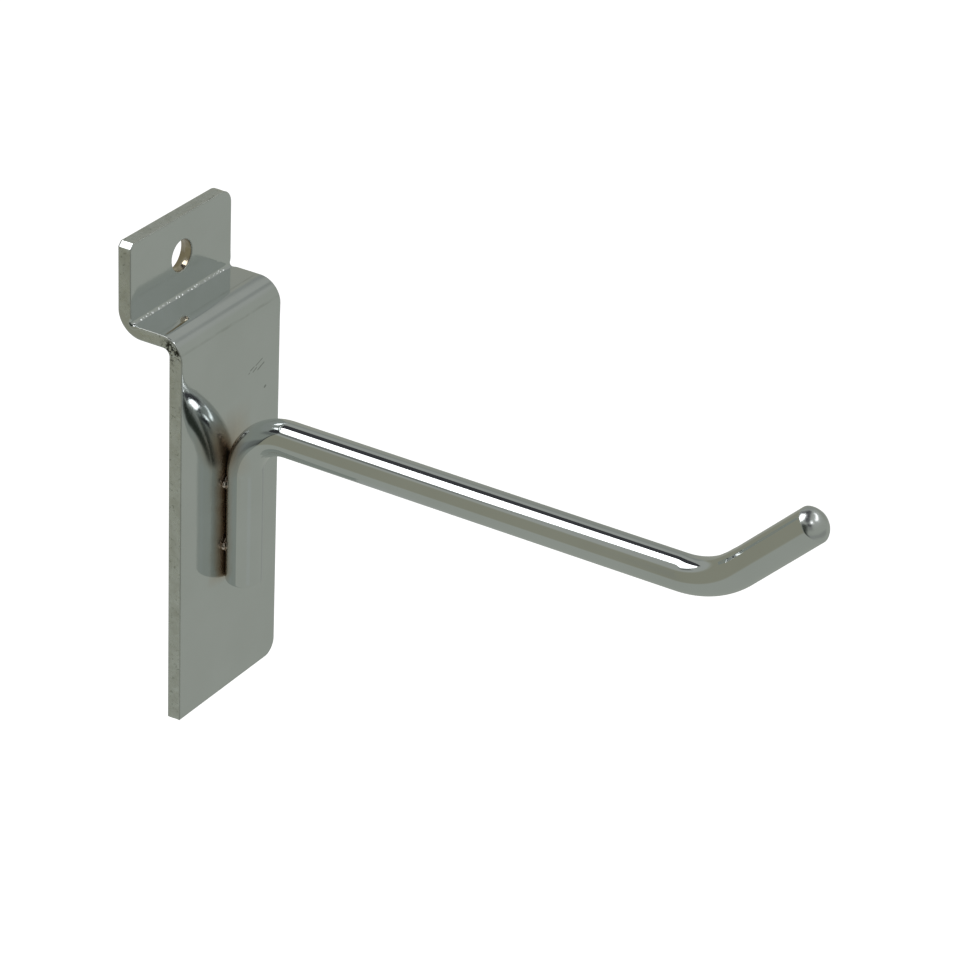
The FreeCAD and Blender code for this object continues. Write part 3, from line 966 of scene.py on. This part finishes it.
# Lamps and black flags overhead: outline in x and y, in metres, and a lamp's colour and strength.
LAMPS = {
    "softbox": ([(-0.005, 0.22), (-0.095, 0.48), (-0.17, 0.48), (-0.31, 0.35), (-0.39, 0.26), (-0.25, 0.15),
                 (-0.17, 0.06), (-0.14, 0.02), (0.05, 0.02), (0.09, 0.08)], WHITE, 3.0),
    "side_box": ([(0.413, -0.150), (0.470, -0.171), (0.406, -0.341), (0.28, -0.485), (0.14, -0.54),
                  (0.12, -0.43), (0.22, -0.39), (0.337, -0.283)], WHITE, 2.8),
    "end_box": ([(-0.085, -0.49), (-0.065, -0.32), (-0.12, -0.315), (-0.20, -0.42), (-0.16, -0.48)],
                WHITE, 2.5),
}
FLAGS = {
    "flag_right": [(0.0, 0.22), (-0.09, 0.48), (-0.06, 0.56), (0.08, 0.47), (0.2, 0.33), (0.3, 0.13),
                   (0.44, 0.08), (0.44, -0.05), (0.30, -0.09), (0.15, -0.12), (-0.04, -0.21),
                   (-0.12, -0.30), (-0.25, -0.28), (-0.22, -0.06), (-0.145, 0.01), (0.05, 0.01),
                   (0.095, 0.075)],
    "flag_left": [(-0.25, -0.28), (-0.34, -0.30), (-0.50, -0.34), (-0.52, -0.70), (-0.38, -0.70),
                  (-0.25, -0.55), (-0.205, -0.47)],
}


def card(name, corners):
    mesh = bpy.data.meshes.new(name)
    mesh.from_pydata(corners, [], [tuple(range(len(corners)))])
    obj = link_object(name, mesh)
    return obj


def overhead(name, outline, color, strength):
    obj = card(name, [(x, y, LAMP_Z) for x, y in outline])
    n, emission = emitter(name, strength)
    emission.inputs["Color"].default_value = (*color, 1)
    obj.data.materials.append(n.owner)
    return obj


def reflections_only(obj):
    obj.visible_camera = False
    obj.visible_diffuse = False
    obj.visible_shadow = False


def build_floor():
    corners = [(x * FLOOR_HALF, y * FLOOR_HALF, FLOOR_Z) for x, y in ((-1, -1), (1, -1), (1, 1), (-1, 1))]
    floor = card("floor", corners)
    n = Nodes(bpy.data.materials.new("floor"))
    n.bsdf.inputs["Base Color"].default_value = (0.8, 0.8, 0.8, 1)
    n.bsdf.inputs["Roughness"].default_value = 0.9
    n.bsdf.inputs["Specular IOR Level"].default_value = 0.0
    emission = n.add("Emission")
    n.link(n.map(n.backdrop_share(), 0, 1, 0, 0.8), emission.inputs["Strength"])
    both = n.add("AddShader")
    n.link(n.bsdf.outputs["BSDF"], both.inputs[0])
    n.link(emission.outputs["Emission"], both.inputs[1])
    n.link(both.outputs[0], n.output.inputs["Surface"])
    floor.data.materials.append(n.owner)


def patch_share(value, low, high, soft):
    return clamp(min(value - low, high - value) / soft + 0.5)


def tent_tone(direction):
    """The cloth's colour in one direction from the object."""
    azimuth = math.degrees(math.atan2(direction.x, direction.y))
    height = math.degrees(math.asin(direction.z))
    tone = Vector(TENT_GREY)
    for (left, right), (low, high), color, soft in TENT_PATCHES:
        across = max(patch_share(azimuth + turn, left, right, soft) for turn in (0, 360))
        tone = tone.lerp(Vector(color), across * patch_share(height, low, high, soft))
    return tone


def build_tent():
    bm = bmesh.new()
    bmesh.ops.create_icosphere(bm, subdivisions=6, radius=TENT_R)
    layer = bm.verts.layers.float_color.new("tone")
    for v in bm.verts:
        v[layer] = (*tent_tone(v.co.normalized()), 1)
        if v.co.z < TENT_FOOT:
            v.co *= TENT_FOOT / v.co.z
    obj = bmesh_object("tent", bm)
    obj.location = (0, -0.04, 0)
    n, emission = emitter("tent")
    n.link(n.add("Attribute", attribute_name="tone").outputs["Color"], emission.inputs["Color"])
    obj.data.materials.append(n.owner)
    reflections_only(obj)


build_floor()
build_tent()
for name, (outline, color, strength) in LAMPS.items():
    overhead(name, outline, color, strength).visible_camera = False
for name, outline in FLAGS.items():
    reflections_only(overhead(name, outline, BLACK, 1.0))

world = bpy.data.worlds.new("world")
scene.world = world
sky = Nodes(world)
background = sky.tree.nodes["Background"]
background.inputs["Color"].default_value = (1, 1, 1, 1)
sky.link(sky.map(sky.backdrop_share(), 0, 1, SHADE_LIGHT, 1.0), background.inputs["Strength"])
